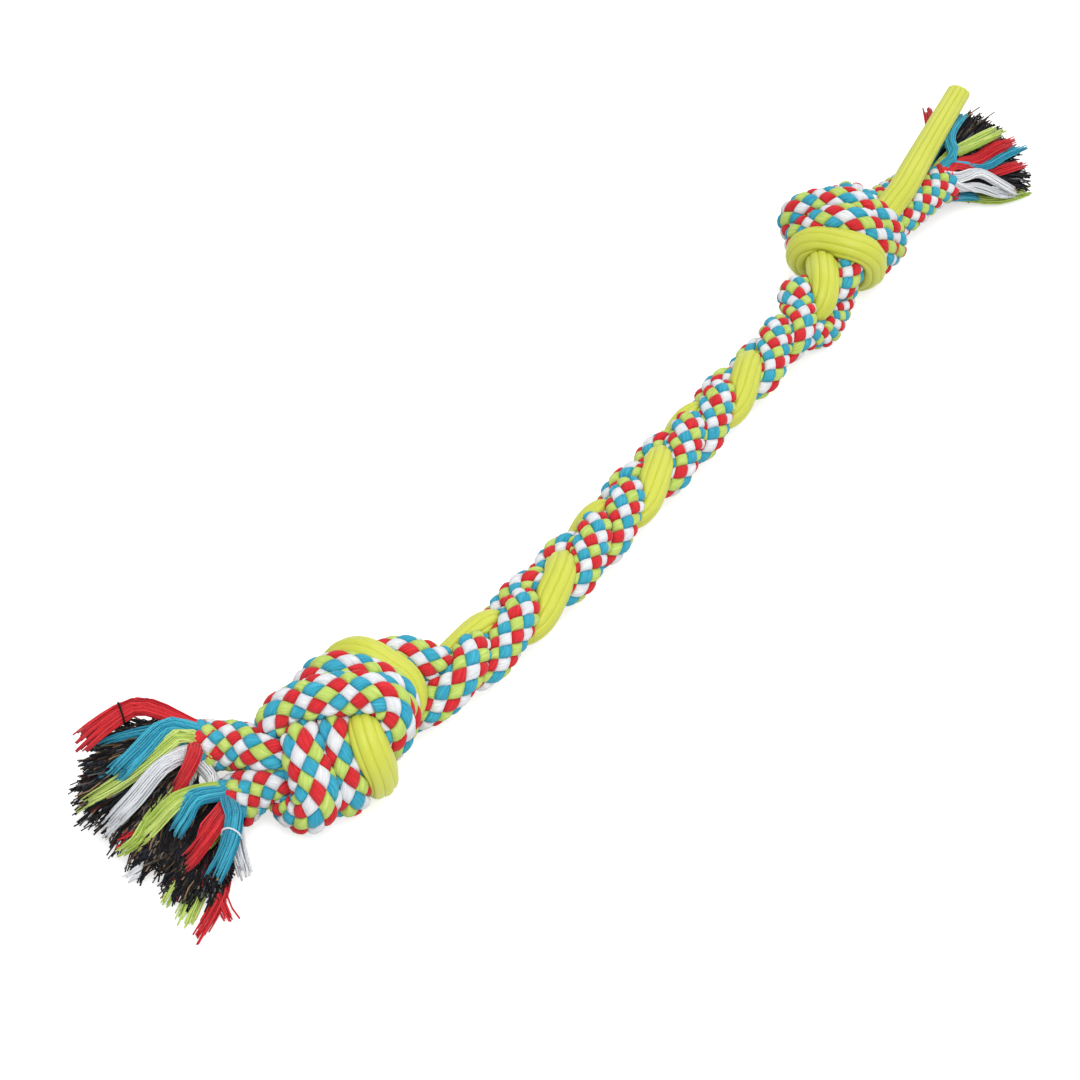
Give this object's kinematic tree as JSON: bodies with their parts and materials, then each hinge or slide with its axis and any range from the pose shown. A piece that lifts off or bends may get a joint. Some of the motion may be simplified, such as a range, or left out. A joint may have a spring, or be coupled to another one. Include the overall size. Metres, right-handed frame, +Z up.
{
  "type": "rope dog toy",
  "caption": "Tug toy of two braided cotton ropes and a ribbed rubber strand plaited together, with an overhand knot near each end and frayed rope tassels beyond the knots.",
  "frame": {"origin": "middle of the bounding box in plan, on the floor that the knots rest on", "axes": "+X along the toy from the near tassels to the far tassels, +Z up"},
  "size_m": [0.508, 0.1324, 0.0438],
  "materials": {
    "braided_cotton": "soft braided cotton, red, white, blue and lime carriers",
    "red_cotton": "matte cotton yarn",
    "white_cotton": "matte cotton yarn",
    "blue_cotton": "matte cotton yarn",
    "lime_cotton": "matte cotton yarn",
    "core_yarn": "matte recycled dark yarn",
    "lime_rubber": "satin ribbed soft rubber"
  },
  "bodies": {
    "near_knot": {"rope_a_near_knot": "braided_cotton", "rope_b_near_knot": "braided_cotton", "rubber_near_knot": "lime_rubber"},
    "plait_1": {"rope_a_plait_1": "braided_cotton", "rope_b_plait_1": "braided_cotton", "rubber_plait_1": "lime_rubber"},
    "plait_2": {"rope_a_plait_2": "braided_cotton", "rope_b_plait_2": "braided_cotton", "rubber_plait_2": "lime_rubber"},
    "plait_3": {"rope_a_plait_3": "braided_cotton", "rope_b_plait_3": "braided_cotton", "rubber_plait_3": "lime_rubber"},
    "plait_4": {"rope_a_plait_4": "braided_cotton", "rope_b_plait_4": "braided_cotton", "rubber_plait_4": "lime_rubber"},
    "far_knot": {"rope_a_far_knot": "braided_cotton", "rope_b_far_knot": "braided_cotton", "rubber_far_knot": "lime_rubber"},
    "near_rope_a_tail": {"rope_a_near_tail": "braided_cotton", "rope_a_near_core": "core_yarn", "rope_a_near_red": "red_cotton", "rope_a_near_white": "white_cotton", "rope_a_near_blue": "blue_cotton", "rope_a_near_lime": "lime_cotton"},
    "near_rope_b_tail": {"rope_b_near_tail": "braided_cotton", "rope_b_near_core": "core_yarn", "rope_b_near_red": "red_cotton", "rope_b_near_white": "white_cotton", "rope_b_near_blue": "blue_cotton", "rope_b_near_lime": "lime_cotton"},
    "far_rope_a_tail": {"rope_a_far_tail": "braided_cotton", "rope_a_far_core": "core_yarn", "rope_a_far_red": "red_cotton", "rope_a_far_white": "white_cotton", "rope_a_far_blue": "blue_cotton", "rope_a_far_lime": "lime_cotton"},
    "far_rope_b_tail": {"rope_b_far_tail": "braided_cotton", "rope_b_far_core": "core_yarn", "rope_b_far_red": "red_cotton", "rope_b_far_white": "white_cotton", "rope_b_far_blue": "blue_cotton", "rope_b_far_lime": "lime_cotton"},
    "far_rubber_tail": {"rubber_far_tail": "lime_rubber"}
  },
  "joints": [
    {"name": "plait_near_lift", "type": "hinge", "parent": "plait_2", "child": "plait_1", "pos_m": [-0.07867, -0.0368, 0.01653], "axis": [-0.2095, 0.9778, 0], "range_deg": [0, 25]},
    {"name": "near_knot_bend", "type": "hinge", "parent": "plait_1", "child": "near_knot", "pos_m": [-0.12912, -0.0466, 0.0188], "axis": [0, 0, 1], "range_deg": [-30, 30]},
    {"name": "plait_middle_bend", "type": "hinge", "parent": "plait_2", "child": "plait_3", "pos_m": [-0.03856, -0.02758, 0.01602], "axis": [0, 0, 1], "range_deg": [-30, 30]},
    {"name": "plait_far_lift", "type": "hinge", "parent": "plait_3", "child": "plait_4", "pos_m": [0.03171, -0.01179, 0.01653], "axis": [-0.2095, 0.9778, 0], "range_deg": [-25, 0]},
    {"name": "far_knot_bend", "type": "hinge", "parent": "plait_4", "child": "far_knot", "pos_m": [0.08682, 0.0007, 0.01941], "axis": [0, 0, 1], "range_deg": [-30, 30]},
    {"name": "near_rope_a_tail", "type": "hinge", "parent": "near_knot", "child": "near_rope_a_tail", "pos_m": [-0.20247, -0.04186, 0.01589], "axis": [0, 0, 1], "range_deg": [0, 20]},
    {"name": "near_rope_b_tail", "type": "hinge", "parent": "near_knot", "child": "near_rope_b_tail", "pos_m": [-0.20452, -0.03377, 0.0222], "axis": [-0.853, -0.5219, 0], "range_deg": [-35, 0]},
    {"name": "far_rope_a_tail", "type": "hinge", "parent": "far_knot", "child": "far_rope_a_tail", "pos_m": [0.19108, 0.02058, 0.01636], "axis": [0, 0, 1], "range_deg": [-35, 0]},
    {"name": "far_rope_b_tail", "type": "hinge", "parent": "far_knot", "child": "far_rope_b_tail", "pos_m": [0.19463, 0.03239, 0.01354], "axis": [0, 0, 1], "range_deg": [0, 35]},
    {"name": "far_rubber_tail", "type": "hinge", "parent": "far_knot", "child": "far_rubber_tail", "pos_m": [0.17, 0.01976, 0.02458], "axis": [-0.2892, 0.9573, 0], "range_deg": [-40, 0]}
  ]
}
